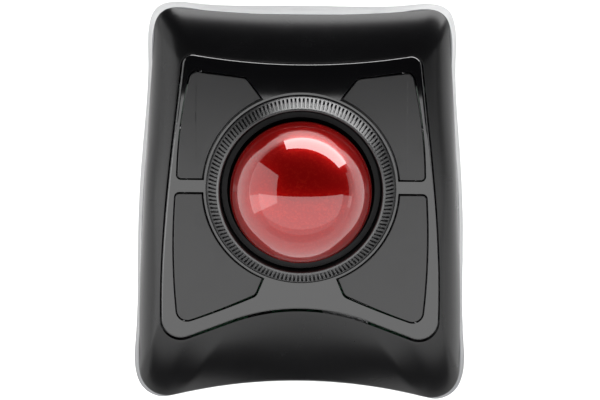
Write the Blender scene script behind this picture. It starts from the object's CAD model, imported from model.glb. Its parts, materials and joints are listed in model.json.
import json
import math

import bpy
from mathutils import Matrix, Vector, geometry


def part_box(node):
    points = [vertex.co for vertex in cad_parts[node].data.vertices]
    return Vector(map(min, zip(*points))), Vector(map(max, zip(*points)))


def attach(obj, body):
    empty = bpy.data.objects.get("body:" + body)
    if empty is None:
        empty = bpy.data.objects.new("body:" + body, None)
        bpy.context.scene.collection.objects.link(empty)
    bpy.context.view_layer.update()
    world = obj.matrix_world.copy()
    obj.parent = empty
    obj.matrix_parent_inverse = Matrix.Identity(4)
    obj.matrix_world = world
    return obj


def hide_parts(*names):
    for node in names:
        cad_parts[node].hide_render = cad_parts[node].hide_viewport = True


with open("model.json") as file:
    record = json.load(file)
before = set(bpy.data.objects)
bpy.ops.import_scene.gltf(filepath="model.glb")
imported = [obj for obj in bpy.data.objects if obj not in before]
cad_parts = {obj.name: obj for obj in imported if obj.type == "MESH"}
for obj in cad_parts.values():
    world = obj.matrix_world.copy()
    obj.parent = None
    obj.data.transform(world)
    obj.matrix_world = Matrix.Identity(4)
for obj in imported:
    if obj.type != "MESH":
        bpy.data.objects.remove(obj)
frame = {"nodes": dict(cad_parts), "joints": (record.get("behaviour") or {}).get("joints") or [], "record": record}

bpy.context.view_layer.update()
mm = 0.001

# the deck: the tilted plane that the bezel, the buttons and the ring are laid out on
ringJoint = next(j for j in frame["joints"] if j["name"] == "scroll_ring_spin")
deckMiddle = Vector(ringJoint["pos_m"])
deckNormal = Vector(ringJoint["axis"]).normalized()
deckRight = Vector((1, 0, 0))
deckUp = deckNormal.cross(deckRight)
deckToWorld = Matrix((deckRight, deckUp, deckNormal)).transposed().to_4x4()
deckToWorld.translation = deckMiddle


# small helpers
def clearSelection():
    if bpy.context.object and bpy.context.object.mode != "OBJECT":
        bpy.ops.object.mode_set(mode="OBJECT")
    bpy.ops.object.select_all(action="DESELECT")


def takeUp(obj):
    clearSelection()
    bpy.context.view_layer.objects.active = obj
    obj.select_set(True)


def settle(obj, angle=35):
    # smooth shading up to an angle, and the object's place moved into its mesh
    takeUp(obj)
    bpy.ops.object.transform_apply(location=True, rotation=True, scale=True)
    bpy.ops.object.shade_smooth_by_angle(angle=math.radians(angle))


def applyModifiers(obj):
    takeUp(obj)
    for modifier in list(obj.modifiers):
        bpy.ops.object.modifier_apply(modifier=modifier.name)


def roundEdges(obj, width, segments=3, angle=45):
    # real rounded edges wherever two faces meet sharply
    bevel = obj.modifiers.new("roundEdges", "BEVEL")
    bevel.limit_method = "ANGLE"
    bevel.angle_limit = math.radians(angle)
    bevel.width = width * mm
    bevel.segments = segments
    bevel.use_clamp_overlap = True
    applyModifiers(obj)


def mergeAndPoint(obj, distance=0.00002):
    takeUp(obj)
    bpy.ops.object.mode_set(mode="EDIT")
    bpy.ops.mesh.select_all(action="SELECT")
    bpy.ops.mesh.remove_doubles(threshold=distance)
    bpy.ops.mesh.normals_make_consistent(inside=False)
    bpy.ops.object.mode_set(mode="OBJECT")


def skinned(name, rows, closedUp=False):
    # a skin over closed loops that all have the same number of points
    count = len(rows[0])
    points = [p for row in rows for p in row]
    faces = []
    last = len(rows) if closedUp else len(rows) - 1
    for r in range(last):
        below = r * count
        above = ((r + 1) % len(rows)) * count
        for i in range(count):
            j = (i + 1) % count
            faces.append((below + i, below + j, above + j, above + i))
    mesh = bpy.data.meshes.new(name)
    mesh.from_pydata(points, [], faces)
    obj = bpy.data.objects.new(name, mesh)
    bpy.context.scene.collection.objects.link(obj)
    return obj


# node groups that the finishes share
def newGroup(name, inputs, outputs):
    group = bpy.data.node_groups.new(name, "ShaderNodeTree")
    for label, kind, value in inputs:
        socket = group.interface.new_socket(label, in_out="INPUT", socket_type=kind)
        socket.default_value = value
    for label, kind in outputs:
        group.interface.new_socket(label, in_out="OUTPUT", socket_type=kind)
    return group, group.nodes.new("NodeGroupInput"), group.nodes.new("NodeGroupOutput")


def buildDriftGroup():
    # slow change of shade and gloss over a moulded surface, as batches of resin give
    group, into, out = newGroup(
        "mouldedDrift",
        [("Color", "NodeSocketColor", (0.5, 0.5, 0.5, 1)), ("Drift", "NodeSocketFloat", 0.1),
         ("Patch", "NodeSocketFloat", 40), ("Roughness", "NodeSocketFloat", 0.3),
         ("Gloss Drift", "NodeSocketFloat", 0.1)],
        [("Color", "NodeSocketColor"), ("Roughness", "NodeSocketFloat")],
    )
    nodes, links = group.nodes, group.links
    place = nodes.new("ShaderNodeTexCoord")
    noise = nodes.new("ShaderNodeTexNoise")
    noise.inputs["Detail"].default_value = 5
    links.new(place.outputs["Object"], noise.inputs["Vector"])
    links.new(into.outputs["Patch"], noise.inputs["Scale"])
    centred = nodes.new("ShaderNodeMath")
    centred.operation = "SUBTRACT"
    centred.inputs[1].default_value = 0.5
    links.new(noise.outputs["Fac"], centred.inputs[0])
    swing = nodes.new("ShaderNodeMath")
    swing.operation = "MULTIPLY_ADD"
    swing.inputs[2].default_value = 1.0
    links.new(centred.outputs[0], swing.inputs[0])
    links.new(into.outputs["Drift"], swing.inputs[1])
    shade = nodes.new("ShaderNodeVectorMath")
    shade.operation = "SCALE"
    links.new(into.outputs["Color"], shade.inputs[0])
    links.new(swing.outputs[0], shade.inputs["Scale"])
    links.new(shade.outputs[0], out.inputs["Color"])
    glossSwing = nodes.new("ShaderNodeMath")
    glossSwing.operation = "MULTIPLY_ADD"
    glossSwing.inputs[2].default_value = 1.0
    links.new(centred.outputs[0], glossSwing.inputs[0])
    links.new(into.outputs["Gloss Drift"], glossSwing.inputs[1])
    gloss = nodes.new("ShaderNodeMath")
    gloss.operation = "MULTIPLY"
    links.new(into.outputs["Roughness"], gloss.inputs[0])
    links.new(glossSwing.outputs[0], gloss.inputs[1])
    links.new(gloss.outputs[0], out.inputs["Roughness"])
    return group


def buildGrainGroup():
    # the fine spark-eroded grain of a mould, as a height
    group, into, out = newGroup(
        "mouldGrain",
        [("Grain", "NodeSocketFloat", 2500), ("Depth", "NodeSocketFloat", 0.5)],
        [("Height", "NodeSocketFloat")],
    )
    nodes, links = group.nodes, group.links
    place = nodes.new("ShaderNodeTexCoord")
    fine = nodes.new("ShaderNodeTexNoise")
    fine.inputs["Detail"].default_value = 2
    links.new(place.outputs["Object"], fine.inputs["Vector"])
    links.new(into.outputs["Grain"], fine.inputs["Scale"])
    height = nodes.new("ShaderNodeMath")
    height.operation = "MULTIPLY"
    links.new(fine.outputs["Fac"], height.inputs[0])
    links.new(into.outputs["Depth"], height.inputs[1])
    links.new(height.outputs[0], out.inputs["Height"])
    return group


markLook = dict(
    smearScale=70, smearDetail=6, smearSwirl=1.2, smearFrom=0.5, smearTo=0.75,
    scratchTurn=(0.2, 0.1, 0.7), scratchStretch=(1, 24, 1), scratchScale=120, scratchDetail=3,
    scratchFrom=0.66, scratchTo=0.72,
)


def buildWearGroup():
    # handling marks: faint smears that lift the roughness, and hairline scratches
    group, into, out = newGroup(
        "handlingMarks",
        [("Roughness", "NodeSocketFloat", 0.3), ("Smear", "NodeSocketFloat", 0.1),
         ("Scratch", "NodeSocketFloat", 0.1)],
        [("Roughness", "NodeSocketFloat")],
    )
    nodes, links = group.nodes, group.links
    place = nodes.new("ShaderNodeTexCoord")
    smearNoise = nodes.new("ShaderNodeTexNoise")
    smearNoise.inputs["Scale"].default_value = markLook["smearScale"]
    smearNoise.inputs["Detail"].default_value = markLook["smearDetail"]
    smearNoise.inputs["Distortion"].default_value = markLook["smearSwirl"]
    links.new(place.outputs["Object"], smearNoise.inputs["Vector"])
    smearRange = nodes.new("ShaderNodeMapRange")
    smearRange.inputs["From Min"].default_value = markLook["smearFrom"]
    smearRange.inputs["From Max"].default_value = markLook["smearTo"]
    links.new(smearNoise.outputs["Fac"], smearRange.inputs["Value"])
    stretch = nodes.new("ShaderNodeMapping")
    stretch.inputs["Rotation"].default_value = markLook["scratchTurn"]
    stretch.inputs["Scale"].default_value = markLook["scratchStretch"]
    links.new(place.outputs["Object"], stretch.inputs["Vector"])
    scratchNoise = nodes.new("ShaderNodeTexNoise")
    scratchNoise.inputs["Scale"].default_value = markLook["scratchScale"]
    scratchNoise.inputs["Detail"].default_value = markLook["scratchDetail"]
    links.new(stretch.outputs[0], scratchNoise.inputs["Vector"])
    scratchRange = nodes.new("ShaderNodeMapRange")
    scratchRange.inputs["From Min"].default_value = markLook["scratchFrom"]
    scratchRange.inputs["From Max"].default_value = markLook["scratchTo"]
    links.new(scratchNoise.outputs["Fac"], scratchRange.inputs["Value"])
    smear = nodes.new("ShaderNodeMath")
    smear.operation = "MULTIPLY_ADD"
    links.new(smearRange.outputs[0], smear.inputs[0])
    links.new(into.outputs["Smear"], smear.inputs[1])
    links.new(into.outputs["Roughness"], smear.inputs[2])
    scratch = nodes.new("ShaderNodeMath")
    scratch.operation = "MULTIPLY_ADD"
    scratch.use_clamp = True
    links.new(scratchRange.outputs[0], scratch.inputs[0])
    links.new(into.outputs["Scratch"], scratch.inputs[1])
    links.new(smear.outputs[0], scratch.inputs[2])
    links.new(scratch.outputs[0], out.inputs["Roughness"])
    return group


driftGroup = buildDriftGroup()
grainGroup = buildGrainGroup()
wearGroup = buildWearGroup()


def addGroup(nodes, group, values):
    node = nodes.new("ShaderNodeGroup")
    node.node_tree = group
    for label, value in values.items():
        node.inputs[label].default_value = value
    return node


def makeFinish(name, look):
    # one moulded, painted or plated finish from its dictionary
    material = bpy.data.materials.new(name)
    material.use_nodes = True
    nodes, links = material.node_tree.nodes, material.node_tree.links
    shader = nodes["Principled BSDF"]
    drift = addGroup(nodes, driftGroup, {
        "Color": (*look["colour"], 1), "Drift": look.get("drift", 0.2),
        "Patch": look.get("patch", 60), "Roughness": look["roughness"],
        "Gloss Drift": look.get("glossDrift", 0.3)})
    wear = addGroup(nodes, wearGroup, {
        "Smear": look.get("smear", 0.03), "Scratch": look.get("scratch", 0.02)})
    links.new(drift.outputs["Roughness"], wear.inputs["Roughness"])
    links.new(drift.outputs["Color"], shader.inputs["Base Color"])
    links.new(wear.outputs["Roughness"], shader.inputs["Roughness"])
    grain = addGroup(nodes, grainGroup, {
        "Grain": look.get("grain", 2500), "Depth": look.get("depth", 0.5)})
    bump = nodes.new("ShaderNodeBump")
    bump.inputs["Strength"].default_value = look.get("bump", 0.1)
    bump.inputs["Distance"].default_value = look.get("bumpDistance", 0.00005)
    links.new(grain.outputs["Height"], bump.inputs["Height"])
    links.new(bump.outputs["Normal"], shader.inputs["Normal"])
    shader.inputs["Metallic"].default_value = look.get("metallic", 0.0)
    shader.inputs["Specular IOR Level"].default_value = look.get("specular", 0.5)
    shader.inputs["Coat Weight"].default_value = look.get("coat", 0.0)
    shader.inputs["Coat Roughness"].default_value = look.get("coatRoughness", 0.03)
    shader.inputs["Transmission Weight"].default_value = look.get("transmission", 0.0)
    return material


finishes = {
    "silver_case": dict(colour=(0.125, 0.127, 0.131), roughness=0.34, drift=0.08, patch=90, metallic=0.35,
                        grain=3200, bump=0.25, smear=0.05, scratch=0.03),
    "black_shell": dict(colour=(0.0015, 0.0015, 0.0017), roughness=0.26, drift=0.4, specular=0.2, patch=35,
                        glossDrift=0.12, bump=0.04, smear=0.02, scratch=0.01),
    "gloss_bezel": dict(colour=(0.0012, 0.0012, 0.0014), roughness=0.05, drift=0.4, patch=30, glossDrift=0.2,
                        bump=0.01, smear=0.012, scratch=0.01),
    "button_plastic": dict(colour=(0.003, 0.003, 0.0033), roughness=0.3, specular=0.34, drift=0.25, patch=60,
                           glossDrift=0.15, grain=3000, bump=0.25, smear=0.06, scratch=0.02),
    "ring_plastic": dict(colour=(0.004, 0.004, 0.0044), roughness=0.42, specular=0.75, drift=0.3, patch=80,
                         glossDrift=0.2, bump=0.08, smear=0.05, scratch=0.02),
    "black_inner": dict(colour=(0.004, 0.004, 0.0043), roughness=0.45, specular=0.12, drift=0.2, patch=70,
                        bump=0.3, grain=2200, smear=0.05),
    "bearing": dict(colour=(0.62, 0.05, 0.09), roughness=0.06, drift=0.1, patch=300, coat=1.0),
    "clear_lens": dict(colour=(0.86, 0.9, 0.94), roughness=0.06, drift=0.03, transmission=0.9),
    "board": dict(colour=(0.012, 0.11, 0.045), roughness=0.3, drift=0.35, patch=160, grain=900, bump=0.2,
                  coat=0.4),
    "chip": dict(colour=(0.018, 0.018, 0.02), roughness=0.55, drift=0.2, patch=240, grain=2600, bump=0.3),
    "metal": dict(colour=(0.55, 0.55, 0.56), roughness=0.25, drift=0.15, patch=220, metallic=1.0,
                  grain=1800, bump=0.15, scratch=0.12),
    "ribbon": dict(colour=(0.66, 0.67, 0.68), roughness=0.42, drift=0.1, patch=120, bump=0.1),
    "lead": dict(colour=(0.36, 0.012, 0.012), roughness=0.42, drift=0.15, patch=200, bump=0.1),
    "cell": dict(colour=(0.09, 0.1, 0.12), roughness=0.3, drift=0.2, patch=90, metallic=0.5, scratch=0.1),
    "knob": dict(colour=(0.62, 0.62, 0.61), roughness=0.42, drift=0.1, patch=150, grain=2600, bump=0.25),
    "foot_rubber": dict(colour=(0.03, 0.03, 0.031), roughness=0.72, drift=0.3, patch=180, grain=1400,
                        bump=0.6, smear=0.1),
}
materials = {name: makeFinish(name, look) for name, look in finishes.items()}


ballLook = dict(
    deep=(0.15, 0.001, 0.001, 1), flake=(0.21, 0.006, 0.003, 1), flakeScale=1800, flakeFrom=0.55,
    cloud=90, cloudDetail=4, roughness=0.28, roughest=0.43, coatRoughness=0.02, coatBend=1.5, metallic=0.6,
)


def makeBallFinish():
    # clear-coated deep red with a fine sparkle of flakes set in it
    look = ballLook
    material = bpy.data.materials.new("red_ball")
    material.use_nodes = True
    nodes, links = material.node_tree.nodes, material.node_tree.links
    shader = nodes["Principled BSDF"]
    place = nodes.new("ShaderNodeTexCoord")
    flakes = nodes.new("ShaderNodeTexVoronoi")
    flakes.inputs["Scale"].default_value = look["flakeScale"]
    links.new(place.outputs["Object"], flakes.inputs["Vector"])
    pick = nodes.new("ShaderNodeMapRange")
    pick.inputs["From Min"].default_value = look["flakeFrom"]
    split = nodes.new("ShaderNodeSeparateColor")
    links.new(flakes.outputs["Color"], split.inputs["Color"])
    links.new(split.outputs["Red"], pick.inputs["Value"])
    cloud = nodes.new("ShaderNodeTexNoise")
    cloud.inputs["Scale"].default_value = look["cloud"]
    cloud.inputs["Detail"].default_value = look["cloudDetail"]
    links.new(place.outputs["Object"], cloud.inputs["Vector"])
    share = nodes.new("ShaderNodeMath")
    share.operation = "MULTIPLY"
    links.new(pick.outputs[0], share.inputs[0])
    links.new(cloud.outputs["Fac"], share.inputs[1])
    mix = nodes.new("ShaderNodeMix")
    mix.data_type = "RGBA"
    mix.inputs["A"].default_value = look["deep"]
    mix.inputs["B"].default_value = look["flake"]
    links.new(share.outputs[0], mix.inputs["Factor"])
    links.new(mix.outputs["Result"], shader.inputs["Base Color"])
    gloss = nodes.new("ShaderNodeMapRange")
    gloss.inputs["To Min"].default_value = look["roughness"]
    gloss.inputs["To Max"].default_value = look["roughest"]
    links.new(cloud.outputs["Fac"], gloss.inputs["Value"])
    links.new(gloss.outputs[0], shader.inputs["Roughness"])
    shader.inputs["Coat Weight"].default_value = 1.0
    shader.inputs["Coat Roughness"].default_value = look["coatRoughness"]
    shader.inputs["Coat IOR"].default_value = look["coatBend"]
    shader.inputs["Specular IOR Level"].default_value = 0.0
    shader.inputs["Metallic"].default_value = look["metallic"]
    return material


materials["red_ball"] = makeBallFinish()
print("finishes ready:", len(materials))

# every solid that stays on show takes its own finish
slotOf = {part["node"]: part["material_slot"] for part in frame["record"]["subparts"]}
for node, obj in frame["nodes"].items():
    for materialSlot in obj.material_slots:
        materialSlot.material = materials[slotOf[node]]


def finishPiece(obj, body, *nodes):
    # a made piece rides on its body, stands for its solids and takes their finish
    obj.data.materials.clear()
    obj.data.materials.append(materials[slotOf[nodes[0]]])
    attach(obj, body)
    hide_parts(*nodes)


# scroll ring: one tooth is spun, its slot is pressed in, then it is copied all round
ringShape = dict(teeth=140, stepsPerTooth=8, slotDepth=1.15, slotSteps=(3, 4, 5), smoothAngle=32)
ringProfile = [   # radius and height over the deck in mm, and whether the slots run there
    (31.3, -6.1, 0), (38.2, -6.1, 0), (38.2, -5.0, 0), (36.6, -5.0, 0), (36.6, 0.7, 0), (36.52, 1.1, 0),
    (36.3, 1.45, 0), (36.05, 1.8, 0), (35.95, 1.93, 1), (35.2, 2.9, 1), (34.3, 4.05, 1), (33.4, 5.2, 1),
    (32.95, 5.78, 1), (32.85, 5.9, 0), (32.6, 6.22, 0), (32.35, 6.42, 0), (32.1, 6.5, 0), (31.85, 6.44, 0),
    (31.62, 6.28, 0), (31.5, 6.05, 0), (31.42, 3.0, 0),
]


def buildScrollRing():
    clearSelection()
    bpy.ops.mesh.primitive_circle_add(vertices=len(ringProfile), radius=0.01)
    ring = bpy.context.object
    ring.name = "scrollRing"
    for vertex, (radius, height, _) in zip(ring.data.vertices, ringProfile):
        vertex.co = (radius * mm, 0, height * mm)
    pitch = 2 * math.pi / ringShape["teeth"]
    bpy.ops.object.mode_set(mode="EDIT")
    bpy.ops.mesh.select_all(action="SELECT")
    bpy.ops.mesh.spin(steps=ringShape["stepsPerTooth"], angle=pitch, center=(0, 0, 0), axis=(0, 0, 1))
    bpy.ops.object.mode_set(mode="OBJECT")
    slotRows = [(radius, height) for radius, height, slotted in ringProfile if slotted]
    outside, inside = slotRows[0], slotRows[-1]
    outward = Vector((inside[1] - outside[1], outside[0] - inside[0])).normalized()   # off the ridged cone
    for vertex in ring.data.vertices:
        turn = abs(math.atan2(vertex.co.y, vertex.co.x))
        radius = math.hypot(vertex.co.x, vertex.co.y)
        step = round(turn / pitch * ringShape["stepsPerTooth"])
        key = (round(radius / mm, 2), round(vertex.co.z / mm, 2))
        if key in slotRows and step in ringShape["slotSteps"]:
            depth = ringShape["slotDepth"] * mm
            newRadius = radius - outward.x * depth
            vertex.co.x *= newRadius / radius
            vertex.co.y *= newRadius / radius
            vertex.co.z -= outward.y * depth
    turner = bpy.data.objects.new("turner", None)
    bpy.context.scene.collection.objects.link(turner)
    turner.rotation_euler.z = pitch
    copies = ring.modifiers.new("allRound", "ARRAY")
    copies.count = ringShape["teeth"]
    copies.use_relative_offset = False
    copies.use_object_offset = True
    copies.offset_object = turner
    copies.use_merge_vertices = True
    copies.use_merge_vertices_cap = True
    copies.merge_threshold = 0.00001
    applyModifiers(ring)
    bpy.data.objects.remove(turner)
    mergeAndPoint(ring, 0.00001)
    ring.matrix_world = deckToWorld
    settle(ring, ringShape["smoothAngle"])
    return ring


scrollRing = buildScrollRing()
finishPiece(scrollRing, "scroll_ring", "scroll_ring")
print("scroll ring:", len(scrollRing.data.polygons), "faces")


# ball: a cube subdivided and cast to a sphere, so that no pole shows
ballShape = dict(subdivisions=6, smoothAngle=60)


def buildBall():
    low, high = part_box("trackball")
    clearSelection()
    bpy.ops.mesh.primitive_cube_add(size=high.x - low.x, location=(low + high) / 2)
    ball = bpy.context.object
    ball.name = "fingerBall"
    split = ball.modifiers.new("split", "SUBSURF")
    split.subdivision_type = "SIMPLE"
    split.levels = split.render_levels = ballShape["subdivisions"]
    cast = ball.modifiers.new("cast", "CAST")
    cast.factor = 1
    cast.use_radius_as_size = False
    cast.size = (high.x - low.x) / 2
    applyModifiers(ball)
    settle(ball, ballShape["smoothAngle"])
    return ball


fingerBall = buildBall()
finishPiece(fingerBall, "trackball", "trackball")
print("ball:", [round(v, 4) for v in fingerBall.dimensions])


# outlines of the shell's seam and of the bezel, in mm
seamOutline = dict(
    back=72.3, backCorner=(57.2, 75.6), sideOne=(59.6, 30), sideTwo=(65.0, -20),
    frontCorner=(63.2, -80.9), archEnd=(46, -76.7), front=-71.5, backRadius=8, frontRadius=11,
    frontBow=0.02,
)
bezelOutline = dict(
    back=48.7, backCorner=(45.9, 52.8), sideOne=(49.6, 17), sideTwo=(55.9, -22),
    frontCorner=(53.8, -63.1), archEnd=(27, -52.7), front=-47.7, backRadius=4, frontRadius=7.5,
    frontBow=0.02,
)
shellShape = dict(
    tilt=9.0, crownRadius=635.0, groove=0.6, bezelProud=1.2, wall=2.3, seamHeight=15.7, seamSlope=0.1783,
    outerTilt=dict(back=42, front=62, side=86), innerTilt=dict(back=0, front=46, side=20), arcSteps=22,
    edgeRound=0.3, smoothAngle=40,
)
deckPlace = deckMiddle / mm
levelShare = math.cos(math.radians(shellShape["tilt"]))


def grownOutline(shape, amount):
    result = dict(shape)
    for corner in ("backCorner", "sideOne", "sideTwo", "frontCorner"):
        result[corner] = (shape[corner][0] + amount, shape[corner][1])
    result["back"] = shape["back"] + amount
    result["front"] = shape["front"] - amount
    result["backCorner"] = (result["backCorner"][0], shape["backCorner"][1] + amount)
    result["archEnd"] = (shape["archEnd"][0], shape["archEnd"][1] - amount)
    result["frontCorner"] = (result["frontCorner"][0], shape["frontCorner"][1] - amount)
    result["backRadius"] = shape["backRadius"] + amount
    result["frontRadius"] = shape["frontRadius"] + amount
    return result


def inPlan(shape):
    # a deck outline seen from straight above
    result = dict(shape)
    for name, value in shape.items():
        if isinstance(value, tuple):
            result[name] = (value[0], deckPlace.y + value[1] * levelShare)
        elif name in ("back", "front"):
            result[name] = deckPlace.y + value * levelShare
    return result


def arcThrough(a, b, c, count=60):
    # points on the circle through three points, from a past b to c
    a, b, c = Vector(a), Vector(b), Vector(c)
    d = 2 * (a.x * (b.y - c.y) + b.x * (c.y - a.y) + c.x * (a.y - b.y))
    aa, bb, cc = a.length_squared, b.length_squared, c.length_squared
    centre = Vector((
        (aa * (b.y - c.y) + bb * (c.y - a.y) + cc * (a.y - b.y)) / d,
        (aa * (c.x - b.x) + bb * (a.x - c.x) + cc * (b.x - a.x)) / d,
    ))
    start = math.atan2(a.y - centre.y, a.x - centre.x)
    sweep = (math.atan2(c.y - centre.y, c.x - centre.x) - start + math.pi) % (2 * math.pi) - math.pi
    radius = (a - centre).length
    turns = [start + sweep * i / count for i in range(count + 1)]
    return [centre + Vector((math.cos(t), math.sin(t))) * radius for t in turns]


def bezierThrough(a, b, c, d, count=60):
    a, b, c, d = Vector(a), Vector(b), Vector(c), Vector(d)
    shares = [i / count for i in range(count + 1)]
    return [a * (1 - t)**3 + b * 3 * t * (1 - t)**2 + c * 3 * t**2 * (1 - t) + d * t**3 for t in shares]


def flip(point):
    return (-point[0], point[1])


def bodyEdges(shape):
    # the six edges of a body outline, anticlockwise from the right front corner
    back, front, arch = shape["backCorner"], shape["frontCorner"], shape["archEnd"]
    bow = (Vector(front) + Vector(arch)) / 2 + Vector((0, shape["frontBow"]))
    return [
        bezierThrough(front, shape["sideTwo"], shape["sideOne"], back),
        arcThrough(back, (0, shape["back"]), flip(back)),
        bezierThrough(flip(back), flip(shape["sideOne"]), flip(shape["sideTwo"]), flip(front)),
        arcThrough(flip(front), flip(bow), flip(arch), 20),
        arcThrough(flip(arch), (0, shape["front"]), arch),
        arcThrough(arch, bow, front, 20),
    ]


def leftOffset(points, distance):
    moved = []
    for i, point in enumerate(points):
        along = (points[min(i + 1, len(points) - 1)] - points[max(i - 1, 0)]).normalized()
        moved.append(point + Vector((-along.y, along.x)) * distance)
    return moved


def crossing(one, two):
    for i in range(len(one) - 2, -1, -1):
        for j in range(len(two) - 1):
            hit = geometry.intersect_line_line_2d(one[i], one[i + 1], two[j], two[j + 1])
            if hit:
                return i, j, hit
    return None


def evenly(points, count):
    # count points along a line, its ends included
    lengths = [0]
    for a, b in zip(points, points[1:]):
        lengths.append(lengths[-1] + (b - a).length)
    result, k = [], 0
    for i in range(count):
        target = lengths[-1] * i / (count - 1)
        while k < len(points) - 2 and lengths[k + 1] < target:
            k += 1
        span = lengths[k + 1] - lengths[k]
        share = (target - lengths[k]) / span if span else 0
        result.append(points[k].lerp(points[k + 1], min(max(share, 0), 1)))
    return result


def roundedLoop(edges, radii, counts, arcCount=14):
    # an outline with rounded corners: radii[i] is the corner after edge i, 0 leaves it as it is
    starts, ends, arcs = [None] * len(edges), [None] * len(edges), [None] * len(edges)
    for i, radius in enumerate(radii):
        if not radius:
            continue
        j = (i + 1) % len(edges)
        found = crossing(leftOffset(edges[i], radius), leftOffset(edges[j], radius))
        centre = Vector(found[2])
        into, away = edges[i][found[0]], edges[j][found[1]]
        foot, _ = geometry.intersect_point_line(centre, into, edges[i][found[0] + 1])
        head, _ = geometry.intersect_point_line(centre, away, edges[j][found[1] + 1])
        foot, head = Vector(foot[:2]), Vector(head[:2])
        ends[i] = (found[0], foot)
        starts[j] = (found[1], head)
        first = math.atan2(foot.y - centre.y, foot.x - centre.x)
        sweep = (math.atan2(head.y - centre.y, head.x - centre.x) - first + math.pi) % (2 * math.pi) - math.pi
        arcs[i] = [centre + Vector((math.cos(first + sweep * k / arcCount),
                                    math.sin(first + sweep * k / arcCount))) * radius
                   for k in range(1, arcCount)]
    loop = []
    for i, edge in enumerate(edges):
        points = list(edge)
        if ends[i]:
            points = points[:ends[i][0] + 1] + [ends[i][1]]
        if starts[i]:
            points = [starts[i][1]] + points[starts[i][0] + 1:]
        points = evenly(points, counts[i])
        loop += points if arcs[i] else points[:-1]
        if arcs[i]:
            loop += arcs[i]
    return loop


bodyCounts = (56, 40, 56, 8, 36, 8)      # points kept on each edge, in the order of bodyEdges


def bodyLoop(shape):
    radii = (shape["backRadius"], shape["backRadius"], shape["frontRadius"], 0, 0, shape["frontRadius"])
    return roundedLoop(bodyEdges(shape), radii, bodyCounts)


# upper shell: arcs that climb from the seam to the bezel's edge
def crownHeight(y):
    run = y - deckPlace.y
    climb = run * math.tan(math.radians(shellShape["tilt"]))
    return deckPlace.z + climb - run**2 / (2 * shellShape["crownRadius"])


def seamLevel(y):
    return shellShape["seamHeight"] + shellShape["seamSlope"] * y


def tiltAt(tilts, across, along):
    ends = tilts["back"] if along > 0 else tilts["front"]
    return math.radians(tilts["side"] * across**2 + ends * along**2)


def shoulderPoint(low, high, drop, share):
    reach = high - low
    across, along = reach.x / reach.length, -reach.y / reach.length
    start = tiltAt(shellShape["outerTilt"], across, along)
    end = tiltAt(shellShape["innerTilt"], across, along)
    tilt = start + (end - start) * share
    inset = (math.sin(start) - math.sin(tilt)) / (math.sin(start) - math.sin(end))
    climb = (math.cos(tilt) - math.cos(start)) / (math.cos(end) - math.cos(start))
    spot = low + reach * inset
    lowLevel = seamLevel(low.y) - drop
    highLevel = crownHeight(high.y) - shellShape["bezelProud"] - drop
    level = lowLevel + (highLevel - lowLevel) * climb
    return Vector((spot.x, spot.y, max(level, seamLevel(spot.y)))) * mm


def buildUpperShell():
    steps, wall = shellShape["arcSteps"], shellShape["wall"]
    low = bodyLoop(seamOutline)
    high = bodyLoop(inPlan(grownOutline(bezelOutline, shellShape["groove"])))
    lowInside = bodyLoop(grownOutline(seamOutline, -wall))
    rows = [[shoulderPoint(a, b, 0, k / steps) for a, b in zip(low, high)] for k in range(steps + 1)]
    rows += [[shoulderPoint(a, b, wall, 1 - k / steps) for a, b in zip(lowInside, high)]
             for k in range(steps + 1)]
    shell = skinned("upperShell", rows, closedUp=True)
    mergeAndPoint(shell)
    roundEdges(shell, shellShape["edgeRound"])
    settle(shell, shellShape["smoothAngle"])
    return shell


upperShell = buildUpperShell()
finishPiece(upperShell, "housing", "upper_shell")
print("upper shell:", len(upperShell.data.polygons), "faces")


# floor, light and camera
floorLook = dict(size=30, cloud=8, darkest=0.72, lightest=0.74, roughness=0.9, specular=0.1)


def buildFloor():
    clearSelection()
    bpy.ops.mesh.primitive_plane_add(size=floorLook["size"], location=(0, 0, 0))
    floor = bpy.context.object
    floor.name = "paleFloor"
    material = bpy.data.materials.new("paleFloor")
    material.use_nodes = True
    nodes, links = material.node_tree.nodes, material.node_tree.links
    shader = nodes["Principled BSDF"]
    noise = nodes.new("ShaderNodeTexNoise")
    noise.inputs["Scale"].default_value = floorLook["cloud"]
    place = nodes.new("ShaderNodeTexCoord")
    links.new(place.outputs["Object"], noise.inputs["Vector"])
    tone = nodes.new("ShaderNodeMapRange")
    tone.inputs["To Min"].default_value = floorLook["darkest"]
    tone.inputs["To Max"].default_value = floorLook["lightest"]
    links.new(noise.outputs["Fac"], tone.inputs["Value"])
    links.new(tone.outputs[0], shader.inputs["Base Color"])
    shader.inputs["Roughness"].default_value = floorLook["roughness"]
    shader.inputs["Specular IOR Level"].default_value = floorLook["specular"]
    floor.data.materials.append(material)
    return floor


paleFloor = buildFloor()


def addPanel(name, middle, width, height, radiance, facing):
    # a soft panel: facing is the way it shines, radiance is in units of a white floor
    light = bpy.data.lights.new(name, "AREA")
    light.shape = "RECTANGLE"
    light.size = width
    light.size_y = height
    light.energy = radiance * math.pi * width * height
    panel = bpy.data.objects.new(name, light)
    bpy.context.scene.collection.objects.link(panel)
    panel.location = middle
    panel.rotation_euler = Vector(facing).to_track_quat("-Z", "Y").to_euler()
    panel.visible_camera = False
    return panel


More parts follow.
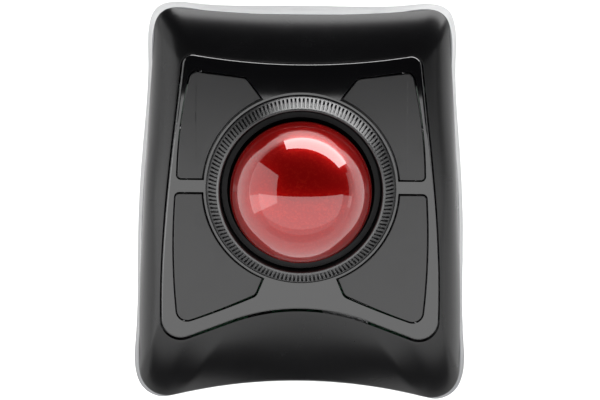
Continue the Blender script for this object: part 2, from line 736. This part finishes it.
lampSetup = dict(
    overheadPanel=dict(middle=(0.0, -1.0, 1.0), width=6.0, height=1.75, radiance=3.6, facing=(0, 0, -1)),
    farPanel=dict(middle=(0.0, -2.54, 1.0), width=6.0, height=1.32, radiance=2.6, facing=(0, 0, -1)),
    frontPanel=dict(middle=(0.0, -3.2, 0.5), width=6.0, height=1.0, radiance=1.9, facing=(0, 1, 0)),
    leftFrontPanel=dict(middle=(-3.0, -1.7, 0.5), width=3.0, height=1.0, radiance=2.2, facing=(1, 0, 0)),
    rightFrontPanel=dict(middle=(3.0, -1.7, 0.5), width=3.0, height=1.0, radiance=2.2, facing=(-1, 0, 0)),
    leftPanel=dict(middle=(-0.8, 0.1, 0.52), width=0.95, height=1.0, radiance=2.7, facing=(1, 0, 0)),
    rightPanel=dict(middle=(1.6, 0.1, 0.1), width=1.2, height=0.2, radiance=1.2, facing=(-1, 0, 0)),
    floorWash=dict(middle=(0.0, 1.6, 2.4), width=7.0, height=4.4, radiance=1.3, facing=(0, 0, -1)),
    windowPanel=dict(middle=(0.12, 0.34, 0.078), width=0.56, height=0.155, radiance=12.0,
                     facing=(-0.31, -0.95, 0)),
)
panels = {}
for name, lamp in lampSetup.items():
    panels[name] = addPanel(name, **lamp)

# the low front panels are flagged off the shell, so that its front shoulder falls into shade
flagged = bpy.data.collections.new("flaggedOff")
flagged.objects.link(upperShell)
flagged.collection_objects[0].light_linking.link_state = "EXCLUDE"
for name in ("farPanel", "frontPanel"):
    panels[name].light_linking.receiver_collection = flagged

# the wash from behind is kept to the floor, so that the paper stays white past the object
paper = bpy.data.collections.new("paper")
paper.objects.link(paleFloor)
panels["floorWash"].light_linking.receiver_collection = paper

roomLook = dict(colour=(0.9, 0.93, 1.0, 1), strength=0.012)
world = bpy.data.worlds.new("studio")
bpy.context.scene.world = world
world.use_nodes = True
world.node_tree.nodes["Background"].inputs["Color"].default_value = roomLook["colour"]
world.node_tree.nodes["Background"].inputs["Strength"].default_value = roomLook["strength"]

cameraSetup = dict(place=(-0.32 * mm, 0.12 * mm, 1.4), lens=211.3, roll=0.5, sensor=36, near=0.05, far=60)
camera = bpy.data.objects.new("camera", bpy.data.cameras.new("camera"))
bpy.context.scene.collection.objects.link(camera)
camera.data.sensor_width = cameraSetup["sensor"]
camera.data.lens = cameraSetup["lens"]
camera.location = cameraSetup["place"]
camera.rotation_euler = (0, 0, math.radians(cameraSetup["roll"]))
camera.data.clip_start = cameraSetup["near"]
camera.data.clip_end = cameraSetup["far"]
bpy.context.scene.camera = camera
bpy.context.scene.view_settings.view_transform = "Standard"
bpy.context.scene.view_settings.look = "None"
print("camera and light ready")

bpy.context.view_layer.update()
